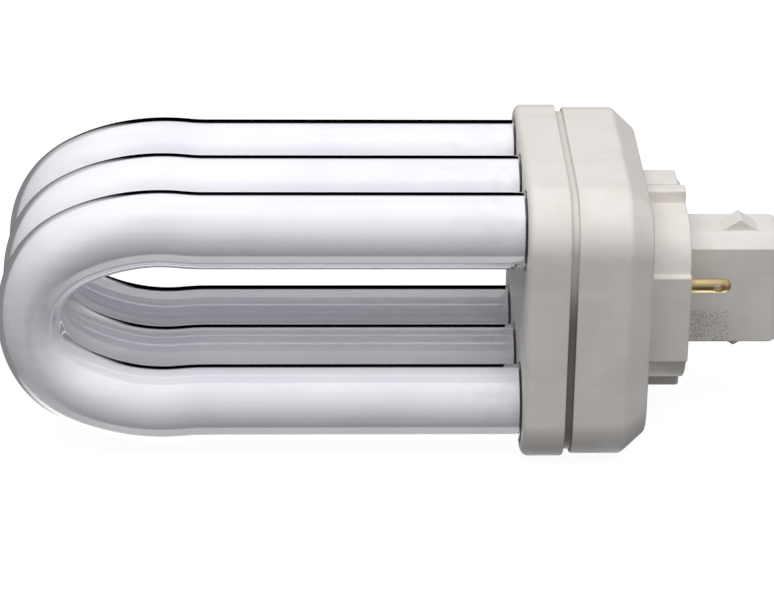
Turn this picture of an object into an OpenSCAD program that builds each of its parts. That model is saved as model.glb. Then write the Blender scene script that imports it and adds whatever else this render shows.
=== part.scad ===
// Plug-in compact fluorescent lamp: three parallel glass U tubes in a two-part plastic base.
// The lamp lies on its side. +X runs along its axis from the glass tips to the plug, +Z is up
// and follows the two legs of each U, and Y runs across the three U tubes. The origin is on the
// axis, in the plane where the contact pins stand on the cap. All sizes are in millimetres.

/* [Glass tubes] */
// Outside diameter of the glass tube
tube_d = 12.5; // [11.5:0.1:13]
// Wall of the glass tube
tube_wall = 0.9; // [0.6:0.1:1.4]
// Distance between the two legs of one U, centre to centre
leg_spread = 30.8; // [29.5:0.1:32]
// Distance from one U tube to the next, centre to centre
tube_pitch = 14.8; // [14:0.1:15.4]
// Reach of the centre line of the bends beyond the seating plane
bend_reach = 107; // [95:1:120]
// Radius of the crown of the bend, at the centre line
crown_r = 14; // [13:0.1:14.6]
// Half of the angle that the crown arc covers
crown_angle = 63; // [60:1:66]
// Angle by which the shoulders swing past straight before the legs run parallel
swing_angle = 6; // [3:0.5:8]
// Radius of the curve that leads the shoulders back into the legs
return_r = 36; // [20:1:50]
// Share of the tube diameter left in the plane of the U at the stretched crown
crown_thinning = 0.83; // [0.75:0.01:1]
// Thickness of the fused glass end of a leg
end_wall = 1.2; // [0.8:0.1:2]
// Distance of the leg ends from the seating plane
leg_end = 12.4; // [11.8:0.1:13.5]
// Outside diameter of the glass bridge between two neighbouring legs
bridge_d = 5.2; // [4:0.1:6]
// Distance of the bridges from the leg ends
bridge_inset = 4.6; // [4.4:0.1:5]

/* [Electrodes] */
// Diameter of the glass stem that carries an electrode
stem_d = 4.6; // [4.2:0.1:5.4]
// Length of the stem inside the leg
stem_length = 9; // [7:0.5:12]
// Diameter of the lead-in wires
lead_d = 0.6; // [0.4:0.05:0.8]
// Distance between the two lead-in wires of a stem
lead_gap = 2.8; // [2.4:0.1:3]
// Length of lead-in wire between the stem and the filament
lead_reach = 4; // [3:0.5:6]
// Length of lead-in wire outside the leg
lead_tail = 1.6; // [1.2:0.1:1.8]
// Outside diameter of the filament coil
coil_d = 1.3; // [1.1:0.1:1.6]
// Diameter of the filament wire as wound
coil_wire_d = 0.34; // [0.3:0.02:0.36]
// Number of turns in the filament coil
coil_turns = 5; // [3:1:6]
// Length of the exhaust stub on the end of one leg
exhaust_length = 2.2; // [2.1:0.1:2.4]
// Diameter of the exhaust stub
exhaust_d = 2; // [1.6:0.1:2]

/* [Tube holder] */
// Width of the base across the three U tubes
base_w = 49.6; // [48.6:0.1:52]
// Height of the base along the legs of a U
base_h = 47.6; // [47:0.1:51]
// Corner radius of the base
base_corner_r = 9; // [7:0.1:11]
// Length of the tube holder along the lamp
holder_length = 6.8; // [6:0.1:8]
// Thickness of the holder's face plate
plate_t = 2.6; // [2:0.1:3]
// Wall of the holder's skirt
skirt_wall = 1; // [0.8:0.1:1.1]
// Chamfer on the front rim of the holder
rim_chamfer = 1.1; // [0.6:0.1:1.6]
// Clearance between a leg and its hole in the plate
tube_clearance = 0.15; // [0.1:0.05:0.3]
// Width of the open groove between the holder and the cap
groove_w = 1.2; // [0.8:0.1:1.8]
// Thickness of the cement collar round each leg
cement_t = 0.9; // [0.6:0.1:1]
// Length of the cement collar round each leg
cement_length = 1.6; // [1:0.1:1.6]

/* [Cap] */
// Length of the straight wall of the cap
cap_length = 8.3; // [7.5:0.1:10]
// Length of the bevel behind the straight wall
bevel_length = 3.9; // [3:0.1:4.5]
// Inset of the bevel across the three U tubes
bevel_inset_w = 2.4; // [1.5:0.1:3.4]
// Inset of the bevel along the legs of a U
bevel_inset_h = 3.7; // [2.5:0.1:4.5]
// Amount by which the cap is smaller than the holder on each side
cap_step = 0.3; // [0.1:0.05:0.5]
// Wall of the cap
cap_wall = 1.6; // [1.4:0.1:1.6]
// Thickness of the wall between the cap's hollow and the bevel end
cap_floor = 1.5; // [1.2:0.1:2]
// Depth of the tongue that closes the groove from inside
tongue_reach = 2.4; // [1.8:0.1:3]
// Wall of the tongue
tongue_wall = 0.8; // [0.6:0.1:0.8]
// Clearance between the tongue and the holder's skirt
tongue_clearance = 0.1; // [0.05:0.05:0.2]

/* [Keyed shoulder] */
// Width of the shoulder across the three U tubes
shoulder_w = 28; // [27:0.1:30]
// Height of the shoulder along the legs of a U
shoulder_h = 28.8; // [28:0.1:31]
// Corner radius of the shoulder
shoulder_corner_r = 8; // [6:0.1:9]
// Height of the side pads that stand proud of the shoulder
side_pad_rise = 1.3; // [0.8:0.1:1.8]
// Upper end of the near side pad above the axis
side_pad_top = 7.2; // [6.6:0.1:8]
// Lower end of the near side pad below the axis
side_pad_bottom = 8.1; // [7:0.1:9]
// Height of the keys on the top and the underside
key_rise = 2.2; // [1.6:0.1:2.6]
// Reach of a key on its long side from the lamp's axis
key_long_side = 7; // [6:0.1:8]
// Reach of a key on its short side from the lamp's axis
key_short_side = 1.7; // [1.2:0.1:2.2]
// Width of the part of a key that runs up to the seating plane
key_land = 2.4; // [1.8:0.1:3]
// Amount by which the rest of a key stops short of the seating plane
key_setback = 1; // [0.6:0.1:1.6]
// Width of the fine line between the two parts of a key
key_line_w = 0.4; // [0.3:0.05:0.6]
// Depth of the fine line between the two parts of a key
key_line_depth = 0.4; // [0.2:0.05:0.6]

/* [Post] */
// Width of the post across its narrow direction
post_w = 10; // [9.6:0.1:11]
// Height of the post
post_h = 19; // [18:0.1:20]
// Length of the post beyond the seating plane
post_length = 16.6; // [15.5:0.1:18]
// Chamfer on two opposite corners of the post
post_chamfer = 2; // [1:0.1:2.6]
// Length of the tapered end of the post
post_lead = 1.6; // [1:0.1:2.2]
// Inset of the tapered end of the post
post_lead_inset = 0.8; // [0.4:0.1:1.2]
// Wall of the post
post_wall = 1.1; // [0.9:0.05:1.15]
// Distance of the latch nubs from the seating plane
nub_x = 9.2; // [8:0.1:11]
// Length of a latch nub along the post
nub_length = 6.2; // [5:0.1:7]
// Width of a latch nub
nub_w = 4.2; // [3:0.1:5]
// Height of a latch nub
nub_rise = 2; // [1.2:0.1:2.6]

/* [Contact pins] */
// Distance between the two contact pins
pin_span = 23; // [22.6:0.1:23.4]
// Height of the contact pins above the axis
pin_offset = 4; // [3.6:0.1:4.4]
// Diameter of a contact pin
pin_d = 2.35; // [2.2:0.05:2.5]
// Length of a contact pin beyond the seating plane
pin_length = 6.9; // [6:0.1:7.5]
// Diameter of a contact pin's shank, which is pressed into the cap
pin_shank_d = 3; // [2.8:0.05:3.4]
// Height of the shank's straight part above the seating plane
pin_seat_rise = 0.1; // [0.05:0.05:0.2]
// Length of the cone between the shank and the pin
pin_cone = 0.3; // [0.2:0.05:0.5]
// Bore in the shank, where the wire is crimped
pin_bore = 1; // [0.8:0.1:1.2]
// Distance from the seating plane down to the end of that bore
pin_bore_stop = 1; // [0.6:0.1:2]
// Diameter of the cross hole in a contact pin
cross_hole_d = 1.4; // [1:0.1:1.6]
// Distance of the cross hole from the seating plane
cross_hole_x = 4.8; // [4.2:0.1:5.2]
// Length of a pin's shank inside the cap, past the floor
pin_tail = 0.8; // [0.5:0.1:1.2]
// Clearance between a pin and its hole
pin_clearance = 0.03; // [0.02:0.01:0.06]

/* [Starter] */
// Diameter of the starter's glass bulb
starter_d = 7.2; // [7:0.1:7.2]
// Length of the starter's glass bulb
starter_length = 17; // [15:0.5:18]
// Wall of the starter's glass bulb
starter_wall = 0.6; // [0.4:0.05:0.8]
// Height of the starter above the axis
starter_offset = 4; // [3.8:0.1:4.2]
// Thickness of the bimetal strip
strip_t = 0.4; // [0.3:0.05:0.5]
// Width of the bimetal strip
strip_w = 2.2; // [1.6:0.1:2.6]
// Length of the capacitor along the post
capacitor_length = 11; // [9:0.5:12]
// Height of the capacitor
capacitor_h = 6.4; // [5.5:0.1:6.8]
// Thickness of the capacitor
capacitor_t = 4.6; // [4:0.1:6]
// Corner radius of the capacitor
capacitor_r = 1; // [0.6:0.1:1.4]
// Diameter of the connecting wires
wire_d = 0.8; // [0.6:0.05:1]

/* [Hidden] */

glass_white = [0.9, 0.89, 0.93];
glass_clear = [0.78, 0.83, 0.8];
ivory = [0.88, 0.86, 0.82];
brass = [0.75, 0.58, 0.3];
wire_grey = [0.62, 0.62, 0.64];
cement_white = [0.93, 0.92, 0.89];

smooth = 96;
small_round = 32;

// Rows of the three U tubes and heights of the two legs
tube_r = tube_d / 2;
bore_r = tube_r - tube_wall;
row_near = -tube_pitch;
row_far = tube_pitch;
leg_z = leg_spread / 2;
leg_stop = -leg_end;
bridge_x = leg_stop - bridge_inset;

// Stations of the base along the lamp
shoulder_length = 7.1;
bevel_end = -shoulder_length;
bevel_start = bevel_end - bevel_length;
cap_start = bevel_start - cap_length;
holder_end = cap_start - groove_w;
holder_start = holder_end - holder_length;
floor_x = bevel_end - cap_floor;
floor_share = (floor_x - bevel_start) / bevel_length;
inner_wall = max(cap_step + cap_wall, skirt_wall + tongue_clearance + tongue_wall);
hollow_w = base_w - 2 * inner_wall;
hollow_h = base_h - 2 * inner_wall;

// Bend of a U: crown arc, shoulder arc and return arc, each a station list of
// [x, z, heading], where the heading is 0 at the tip and 90 degrees along the leg.
// A short straight seat, a hair smaller, lets the bend into each leg.
bend_sides = 24;
seat_length = 1;
seat_gap = 0.03;
crown_steps = 5;
shoulder_steps = 5;
return_steps = 2;
turned = 90 + swing_angle;
shoulder_r = (leg_z - crown_r * sin(crown_angle) + return_r * (1 - cos(swing_angle)))
    / (cos(swing_angle) - sin(crown_angle));
tip_x = -bend_reach;
crown_x = tip_x + crown_r * (1 - cos(crown_angle));
crown_z = crown_r * sin(crown_angle);
shoulder_x = crown_x + shoulder_r * (cos(crown_angle) + sin(swing_angle));
shoulder_z = crown_z + shoulder_r * (cos(swing_angle) - sin(crown_angle));
bend_end_x = shoulder_x + return_r * sin(swing_angle);

crown_stations = [for (i = [0:crown_steps])
    let (h = crown_angle * i / crown_steps)
    [tip_x + crown_r * (1 - cos(h)), crown_r * sin(h), h]];
shoulder_stations = [for (i = [1:shoulder_steps])
    let (h = crown_angle + (turned - crown_angle) * i / shoulder_steps)
    [crown_x + shoulder_r * (cos(crown_angle) - cos(h)),
        crown_z + shoulder_r * (sin(h) - sin(crown_angle)), h]];
return_stations = [for (i = [1:return_steps])
    let (h = turned - swing_angle * i / return_steps)
    [shoulder_x + return_r * (cos(h) + sin(swing_angle)),
        shoulder_z + return_r * (cos(swing_angle) - sin(h)), h]];
seat_station = [bend_end_x + seat_length, leg_z, 90];
upper_half = concat(crown_stations, shoulder_stations, return_stations, [seat_station]);
last = len(upper_half) - 1;
// The whole bend runs from the lower leg round the tip to the upper leg
bend = concat([for (i = [last:-1:1]) [upper_half[i][0], -upper_half[i][1], 180 - upper_half[i][2]]],
    [for (s = upper_half) [s[0], s[1], s[2]]]);
ring_count = len(bend);

// Share of the full tube size at a station, which falls towards the stretched crown
function eased(t) = t * t * (3 - 2 * t);
function fullness(station) =
    crown_thinning + (1 - crown_thinning) * eased(min(1, abs(station[1]) / leg_z));

// One ring of points round a station: the plane of the U gives the thinned direction.
// The heading of a lower station is over 90 degrees, so its outward normal points down.
function ring(station, radius, loss) = let (
    side = station[1] < 0 ? -1 : 1,
    turn = station[1] < 0 ? 180 - station[2] : station[2],
    in_plane = radius * fullness(station) - loss,
    across = radius - loss)
    [for (k = [0:bend_sides - 1])
        let (a = 360 * k / bend_sides)
        [station[0] - in_plane * cos(a) * cos(turn),
            across * sin(a),
            station[1] + side * in_plane * cos(a) * sin(turn)]];

function strip(first, next, flip) = [for (k = [0:bend_sides - 1])
    let (a = first + k, b = first + (k + 1) % bend_sides, c = next + (k + 1) % bend_sides,
        d = next + k)
    each flip ? [[a, c, b], [a, d, c]] : [[a, b, c], [a, c, d]]];

module bend_shell() {
    outer = [for (s = bend) each ring(s, tube_r - seat_gap, 0)];
    inner = [for (s = bend) each ring(s, tube_r - seat_gap, tube_wall)];
    inner_start = ring_count * bend_sides;
    last_ring = (ring_count - 1) * bend_sides;
    outer_faces = [for (j = [0:ring_count - 2])
        each strip(j * bend_sides, (j + 1) * bend_sides, false)];
    inner_faces = [for (j = [0:ring_count - 2])
        each strip(inner_start + j * bend_sides, inner_start + (j + 1) * bend_sides, true)];
    end_faces = concat(strip(0, inner_start, true), strip(last_ring, inner_start + last_ring, false));
    polyhedron(concat(outer, inner), concat(outer_faces, inner_faces, end_faces), convexity = 6);
}

// Helpers that lay shapes along the lamp's axis
module rod(x_from, x_to, d, y = 0, z = 0, faces = smooth) {
    translate([x_from, y, z])
        rotate([0, 90, 0])
            cylinder(h = x_to - x_from, d = d, $fn = faces);
}

module slab(x_from, x_to) {
    translate([x_from, 0, 0])
        rotate([90, 0, 90])
            linear_extrude(x_to - x_from)
                children();
}

module round_rect(w, h, r) {
    square([w, h - 2 * r], center = true);
    square([w - 2 * r, h], center = true);
    for (sy = [-1, 1])
        for (sz = [-1, 1])
            translate([sy * (w / 2 - r), sz * (h / 2 - r)])
                circle(r, $fn = smooth);
}

// Wire that runs straight back along the lamp, turns once and goes straight across to its goal
module wire_run(start, cross_x, goal_y, goal_z, d) {
    elbow_r = 0.8;
    across = [goal_y - start[1], goal_z - start[2]];
    translate([0, start[1], start[2]])
        rotate([atan2(across[1], across[0]), 0, 0]) {
            rod(cross_x + elbow_r, start[0], d, 0, 0, small_round);
            translate([cross_x + elbow_r, elbow_r, 0])
                rotate(180)
                    rotate_extrude(angle = 90, $fn = smooth)
                        translate([elbow_r, 0])
                            circle(d = d, $fn = small_round);
            translate([cross_x, elbow_r, 0])
                rotate([-90, 0, 0])
                    cylinder(h = norm(across) - elbow_r + d / 3, d = d, $fn = small_round);
        }
}

// Straight leg of a U with its fused end, and the hole for a stem if it has one
module leg(z, has_stem) {
    difference() {
        rod(bend_end_x, leg_stop, tube_d, 0, z);
        rod(bend_end_x - 1, leg_stop - end_wall, 2 * bore_r, 0, z);
        if (has_stem)
            rod(leg_stop - 2 * end_wall, leg_stop + 1, stem_d + 0.1, 0, z);
    }
}

// One U tube: y is its row, the flags tell which leg has a stem, and each bridge hole is given
// as [side of the tube along Y, side along Z]
module u_tube(y, upper_stem, lower_stem, bridge_holes) {
    color(glass_white)
        translate([0, y, 0])
            difference() {
                union() {
                    bend_shell();
                    leg(leg_z, upper_stem);
                    leg(-leg_z, lower_stem);
                }
                for (hole = bridge_holes)
                    translate([bridge_x, 0, hole[1] * leg_z])
                        rotate([-90 * hole[0], 0, 0])
                            cylinder(h = tube_d, d = bridge_d + 0.1, $fn = small_round);
            }
}

module front_u_tube() {
    u_tube(row_near, true, false, [[1, -1]]);
}

module middle_u_tube() {
    u_tube(0, false, false, [[-1, -1], [1, 1]]);
}

module rear_u_tube() {
    u_tube(row_far, false, true, [[-1, 1]]);
}

// Short glass tube that joins two neighbouring legs, open from bore to bore
module bridge(y, z) {
    bridge_reach = tube_pitch - 2 * bore_r + 0.6;
    color(glass_clear)
        translate([bridge_x, y, z])
            rotate([90, 0, 0])
                difference() {
                    cylinder(h = bridge_reach, d = bridge_d, center = true, $fn = small_round);
                    cylinder(h = bridge_reach + 1, d = bridge_d - 2 * tube_wall, center = true,
                        $fn = small_round);
                }
}

module front_bridge() {
    bridge(row_near / 2, -leg_z);
}

module rear_bridge() {
    bridge(row_far / 2, leg_z);
}

// Glass stem: a round foot in the leg's end that narrows to a flat-topped press
module stem(y, z) {
    stem_tip = leg_stop - end_wall - stem_length;
    color(glass_clear)
        translate([0, y, z])
            difference() {
                translate([leg_stop, 0, 0])
                    rotate([0, -90, 0])
                        rotate_extrude($fn = smooth)
                            polygon([[0, 0], [stem_d / 2, 0], [stem_d / 2, end_wall + stem_length * 0.5],
                                [stem_d / 2 - 0.3, end_wall + stem_length],
                                [0, end_wall + stem_length]]);
                for (side = [-1, 1])
                    rod(stem_tip - 1, leg_stop + 1, lead_d + 0.06, 0, side * lead_gap / 2, small_round);
            }
}

module front_stem() {
    stem(row_near, leg_z);
}

module rear_stem() {
    stem(row_far, -leg_z);
}

// Pair of lead-in wires through a stem
module lead_wires(y, z) {
    wire_tip = leg_stop - end_wall - stem_length - lead_reach;
    color(wire_grey)
        for (side = [-1, 1])
            rod(wire_tip, leg_stop + lead_tail, lead_d, y, z + side * lead_gap / 2, small_round);
}

module front_lead_wires() {
    lead_wires(row_near, leg_z);
}

module rear_lead_wires() {
    lead_wires(row_far, -leg_z);
}

// Filament coil between the tips of the lead-in wires, its axis along Z
coil_sides = 5;
coil_steps = 9;
coil_length = lead_gap - lead_d - 0.1;
coil_r = (coil_d - coil_wire_d) / 2;
coil_rings = coil_turns * coil_steps;
coil_lift = coil_length - coil_wire_d;

module coil() {
    points = [for (i = [0:coil_rings])
        let (a = 360 * i / coil_steps, z = coil_lift * (i / coil_rings - 0.5))
        for (k = [0:coil_sides - 1])
            let (b = 360 * k / coil_sides, r = coil_r + coil_wire_d / 2 * cos(b))
            [r * cos(a), r * sin(a), z + coil_wire_d / 2 * sin(b)]];
    walls = [for (i = [0:coil_rings - 1])
        for (k = [0:coil_sides - 1])
            let (a = i * coil_sides + k, b = i * coil_sides + (k + 1) % coil_sides)
            each [[a, b, b + coil_sides], [a, b + coil_sides, a + coil_sides]]];
    first_end = [for (k = [coil_sides - 1:-1:0]) k];
    last_end = [for (k = [0:coil_sides - 1]) coil_rings * coil_sides + k];
    polyhedron(points, concat(walls, [first_end, last_end]), convexity = 10);
}

module filament(y, z) {
    coil_x = leg_stop - end_wall - stem_length - lead_reach + lead_d;
    color("dimgray")
        translate([coil_x, y, z])
            coil();
}

module front_filament() {
    filament(row_near, leg_z);
}

module rear_filament() {
    filament(row_far, -leg_z);
}

// Sealed stub of the exhaust tube on the free leg of the front U
module exhaust_stub() {
    color(glass_clear)
        translate([leg_stop, row_near, -leg_z])
            rotate([0, 90, 0])
                union() {
                    cylinder(h = exhaust_length - exhaust_d / 2, d = exhaust_d, $fn = small_round);
                    translate([0, 0, exhaust_length - exhaust_d / 2])
                        sphere(d = exhaust_d, $fn = small_round);
                }
}

// All six places where a leg passes the plate
module each_leg() {
    for (row = [row_near, 0, row_far])
        for (side = [-1, 1])
            translate([0, row, side * leg_z])
                children();
}

// Front part of the base: a face plate with six holes and a skirt towards the cap
module tube_holder() {
    skirt_w = base_w - 2 * skirt_wall;
    skirt_h = base_h - 2 * skirt_wall;
    color(ivory)
        difference() {
            union() {
                slab(holder_start + rim_chamfer, holder_end)
                    round_rect(base_w, base_h, base_corner_r);
                hull() {
                    slab(holder_start, holder_start + 0.01)
                        round_rect(base_w - 2 * rim_chamfer, base_h - 2 * rim_chamfer,
                            base_corner_r - rim_chamfer);
                    slab(holder_start + rim_chamfer, holder_start + rim_chamfer + 0.01)
                        round_rect(base_w, base_h, base_corner_r);
                }
            }
            slab(holder_start + plate_t, holder_end + 1)
                round_rect(skirt_w, skirt_h, base_corner_r - skirt_wall);
            each_leg()
                rod(holder_start - 1, holder_end, tube_d + 2 * tube_clearance);
        }
}

// Cement collars that lock the legs to the back of the plate
module tube_cement() {
    cement_start = holder_start + plate_t;
    color(cement_white)
        each_leg()
            difference() {
                rod(cement_start, cement_start + cement_length, tube_d + 2 * cement_t);
                rod(cement_start - 1, cement_start + cement_length + 1, tube_d + 0.1);
            }
}

// Outline of the shoulder with its side pads, which repeat on the far side half a turn round
module shoulder_outline() {
    round_rect(shoulder_w, shoulder_h, shoulder_corner_r);
    for (half = [0, 180])
        rotate(half)
            translate([-shoulder_w / 2 - side_pad_rise, -side_pad_bottom])
                square([shoulder_w / 2, side_pad_bottom + side_pad_top]);
}

// One key: the land runs up to the seating plane, the rest stops short, a line parts them
module key() {
    key_top = shoulder_h / 2 + key_rise;
    land_edge = key_land - key_short_side;
    difference() {
        union() {
            slab(bevel_end, 0)
                translate([-key_short_side, 0])
                    square([key_land, key_top]);
            slab(bevel_end, -key_setback)
                translate([-key_short_side, 0])
                    square([key_long_side + key_short_side, key_top]);
        }
        slab(bevel_end - 1, 1)
            translate([land_edge, key_top - key_line_depth])
                square([key_line_w, key_line_depth + 1]);
    }
}

// Outline of the post with its two chamfered corners
module post_outline(inset) {
    y = post_w / 2 - inset;
    z = post_h / 2 - inset;
    c = post_chamfer;
    polygon([[-y + c, z], [-y, z - c], [-y, -z], [y - c, -z], [y, -z + c], [y, z]]);
}

// Latch nub: a low roof across the narrow side of the post
module latch_nub() {
    translate([nub_x, nub_w / 2, post_h / 2])
        rotate([90, 0, 0])
            linear_extrude(nub_w)
                polygon([[-nub_length / 2, -0.5], [-nub_length / 2, 0], [0, nub_rise],
                    [nub_length / 2, 0], [nub_length / 2, -0.5]]);
}

// Rear part of the base, moulded in one: cap wall, bevel, tongue, keyed shoulder and post
module cap() {
    cap_w = base_w - 2 * cap_step;
    cap_h = base_h - 2 * cap_step;
    tongue_w = base_w - 2 * skirt_wall - 2 * tongue_clearance;
    tongue_h = base_h - 2 * skirt_wall - 2 * tongue_clearance;
    tongue_start = cap_start - groove_w - tongue_reach;
    tongue_corner = base_corner_r - skirt_wall - tongue_clearance;
    color(ivory)
        difference() {
            union() {
                slab(cap_start, bevel_start)
                    round_rect(cap_w, cap_h, base_corner_r);
                slab(tongue_start, cap_start + 1)
                    round_rect(tongue_w, tongue_h, tongue_corner);
                hull() {
                    slab(bevel_start - 0.01, bevel_start)
                        round_rect(cap_w, cap_h, base_corner_r);
                    slab(bevel_end - 0.01, bevel_end)
                        round_rect(cap_w - 2 * bevel_inset_w, cap_h - 2 * bevel_inset_h,
                            base_corner_r - bevel_inset_w);
                }
                slab(bevel_end - 1, 0)
                    shoulder_outline();
                for (half = [0, 180])
                    rotate([half, 0, 0])
                        key();
                slab(-1, post_length - post_lead)
                    post_outline(0);
                hull() {
                    slab(post_length - post_lead - 0.01, post_length - post_lead)
                        post_outline(0);
                    slab(post_length - 0.01, post_length)
                        post_outline(post_lead_inset);
                }
                for (half = [0, 180])
                    rotate([half, 0, 0])
                        latch_nub();
            }
            slab(tongue_start - 1, cap_start)
                round_rect(tongue_w - 2 * tongue_wall, tongue_h - 2 * tongue_wall,
                    tongue_corner - tongue_wall);
            slab(cap_start - 0.01, bevel_start)
                round_rect(hollow_w, hollow_h, tongue_corner - tongue_wall);
            slab(bevel_start - 0.01, floor_x)
                round_rect(hollow_w - 2 * bevel_inset_w * floor_share,
                    hollow_h - 2 * bevel_inset_h * floor_share, tongue_corner - tongue_wall);
            slab(floor_x - 1, post_length - post_wall - post_lead)
                round_rect(post_w - 2 * post_wall, post_h - 2 * post_wall, post_wall);
            for (side = [-1, 1])
                rod(floor_x - 1, 1, pin_shank_d + 2 * pin_clearance, side * pin_span / 2, pin_offset);
        }
}

// Brass pin with a domed tip and a cross hole, on a thicker shank that is bored for its wire
module contact_pin(y) {
    tip_r = pin_d / 2;
    pin_start = floor_x - pin_tail;
    color(brass)
        translate([0, y, pin_offset])
            difference() {
                union() {
                    rod(pin_start, pin_seat_rise, pin_shank_d);
                    translate([pin_seat_rise, 0, 0])
                        rotate([0, 90, 0])
                            cylinder(h = pin_cone, d1 = pin_shank_d, d2 = pin_d, $fn = smooth);
                    rod(0, pin_length - tip_r, pin_d);
                    translate([pin_length - tip_r, 0, 0])
                        sphere(d = pin_d, $fn = smooth);
                }
                rod(pin_start - 1, -pin_bore_stop, pin_bore, 0, 0, small_round);
                translate([cross_hole_x, 0, 0])
                    rotate([90, 0, 0])
                        cylinder(h = 2 * pin_d, d = cross_hole_d, center = true, $fn = small_round);
            }
}

module near_pin() {
    contact_pin(-pin_span / 2);
}

module far_pin() {
    contact_pin(pin_span / 2);
}

// Glow starter: a small domed bulb that lies in the upper half of the post
starter_end = post_length - post_wall - post_lead - 0.3;
starter_start = starter_end - starter_length;
strip_gap = 1.2;

module starter_bulb() {
    dome_r = starter_d / 2;
    color(glass_clear)
        translate([0, 0, starter_offset])
            difference() {
                union() {
                    rod(starter_start, starter_end - dome_r, starter_d);
                    translate([starter_end - dome_r, 0, 0])
                        sphere(r = dome_r, $fn = smooth);
                }
                rod(starter_start + 2 * starter_wall, starter_end - dome_r,
                    starter_d - 2 * starter_wall);
                translate([starter_end - dome_r, 0, 0])
                    sphere(r = dome_r - starter_wall, $fn = smooth);
                for (side = [-1, 1])
                    rod(starter_start - 1, starter_start + 2 * starter_wall + 1, wire_d + 0.06, 0,
                        side * strip_gap, small_round);
            }
}

// Bent bimetal strip on its lead
module starter_strip() {
    bend_at = starter_start + starter_length * 0.6;
    color(wire_grey)
        translate([0, 0, starter_offset + strip_gap])
            union() {
                rod(starter_start - 1.4, starter_start + 4, wire_d, 0, 0, small_round);
                translate([starter_start + 3.5, -strip_w / 2, -strip_t / 2])
                    cube([bend_at - starter_start - 3.5, strip_w, strip_t]);
                translate([bend_at - strip_t, -strip_w / 2, -strip_gap + strip_t / 2])
                    cube([strip_t, strip_w, strip_gap]);
            }
}

// Fixed contact wire beside the strip
module starter_post() {
    color(wire_grey)
        rod(starter_start - 1.4, starter_start + starter_length * 0.6 - 1, wire_d, 0,
            starter_offset - strip_gap, small_round);
}

// Film capacitor in the lower half of the post
module capacitor() {
    capacitor_z = -post_h / 2 + post_wall + capacitor_h / 2 + 0.2;
    color("goldenrod")
        translate([starter_end - capacitor_length, 0, capacitor_z])
            slab(0, capacitor_length)
                round_rect(capacitor_t, capacitor_h, capacitor_r);
}

// Wires between the electrodes, the pins and the starter
lead_end = leg_stop + lead_tail;
pin_wire_d = pin_bore - 0.1;
joint_gap = 0.1;

module pin_wire(y, row, z) {
    color("firebrick")
        wire_run([-pin_bore_stop - 0.2, y, pin_offset], lead_end + pin_wire_d / 2 + joint_gap, row, z,
            pin_wire_d);
}

module near_pin_wire() {
    pin_wire(-pin_span / 2, row_near, leg_z - lead_gap / 2);
}

module far_pin_wire() {
    pin_wire(pin_span / 2, row_far, -leg_z + lead_gap / 2);
}

// A starter wire runs straight back out of the post, then across to its electrode
module starter_wire(start_z, row, z) {
    color("navy")
        wire_run([starter_start - 1.5, 0, start_z], lead_end + wire_d / 2 + joint_gap, row, z,
            wire_d);
}

module near_starter_wire() {
    starter_wire(starter_offset + strip_gap, row_near, leg_z + lead_gap / 2);
}

module far_starter_wire() {
    starter_wire(starter_offset - strip_gap, row_far, -leg_z - lead_gap / 2);
}

front_u_tube();
middle_u_tube();
rear_u_tube();
front_bridge();
rear_bridge();
front_stem();
rear_stem();
front_lead_wires();
rear_lead_wires();
front_filament();
rear_filament();
exhaust_stub();
tube_holder();
tube_cement();
cap();
near_pin();
far_pin();
starter_bulb();
starter_strip();
starter_post();
capacitor();
near_pin_wire();
far_pin_wire();
near_starter_wire();
far_starter_wire();
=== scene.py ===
import math

import bmesh
import bpy
import numpy as np
from mathutils import Matrix, Vector


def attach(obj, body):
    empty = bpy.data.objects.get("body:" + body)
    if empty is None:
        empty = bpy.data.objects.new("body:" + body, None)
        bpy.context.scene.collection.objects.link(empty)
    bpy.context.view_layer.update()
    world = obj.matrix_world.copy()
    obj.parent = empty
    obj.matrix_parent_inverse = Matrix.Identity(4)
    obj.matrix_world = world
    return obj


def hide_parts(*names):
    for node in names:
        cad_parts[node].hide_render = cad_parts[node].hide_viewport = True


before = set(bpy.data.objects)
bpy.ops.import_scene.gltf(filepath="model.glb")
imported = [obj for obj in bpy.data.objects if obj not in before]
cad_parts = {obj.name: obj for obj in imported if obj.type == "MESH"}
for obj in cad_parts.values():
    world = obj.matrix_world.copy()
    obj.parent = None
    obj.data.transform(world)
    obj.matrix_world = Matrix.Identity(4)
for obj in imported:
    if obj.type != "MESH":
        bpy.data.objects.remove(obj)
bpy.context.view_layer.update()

scene = bpy.context.scene
scene.view_settings.view_transform = "Standard"
mm = 0.001
print("frame loaded:", len(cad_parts), "nodes")


# ---------- camera ----------
photoCamera = {
    "place": (-67.427, -512.773, 243.757),  # mm, in the lamp's own frame
    "right": (0.99935757, -0.03239511, 0.01533005),
    "up": (0.000318226, 0.435748375, 0.900068471),
    "ahead": (0.03583786, 0.89948536, -0.43547874),
    "lens": 159.26,
    "shiftX": -0.01362,
}


def makeCamera(p):
    data = bpy.data.cameras.new("photoCamera")
    data.sensor_width, data.lens, data.shift_x = 36.0, p["lens"], p["shiftX"]
    data.clip_start, data.clip_end = 0.01, 20.0
    cam = bpy.data.objects.new("photoCamera", data)
    scene.collection.objects.link(cam)
    right, up, ahead = Vector(p["right"]), Vector(p["up"]), Vector(p["ahead"])
    turn = Matrix((right, up, -ahead)).transposed().to_4x4()
    cam.matrix_world = Matrix.Translation(Vector(p["place"]) * mm) @ turn
    scene.camera = cam
    return cam


makeCamera(photoCamera)
print("camera made")


# ---------- small helpers ----------
def addNode(tree, kind, at=(0, 0), **values):
    n = tree.nodes.new(kind)
    n.location = at
    for key, value in values.items():
        setattr(n, key, value)
    return n


def join(tree, pairs):
    for a, b in pairs:
        tree.links.new(a, b)


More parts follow.
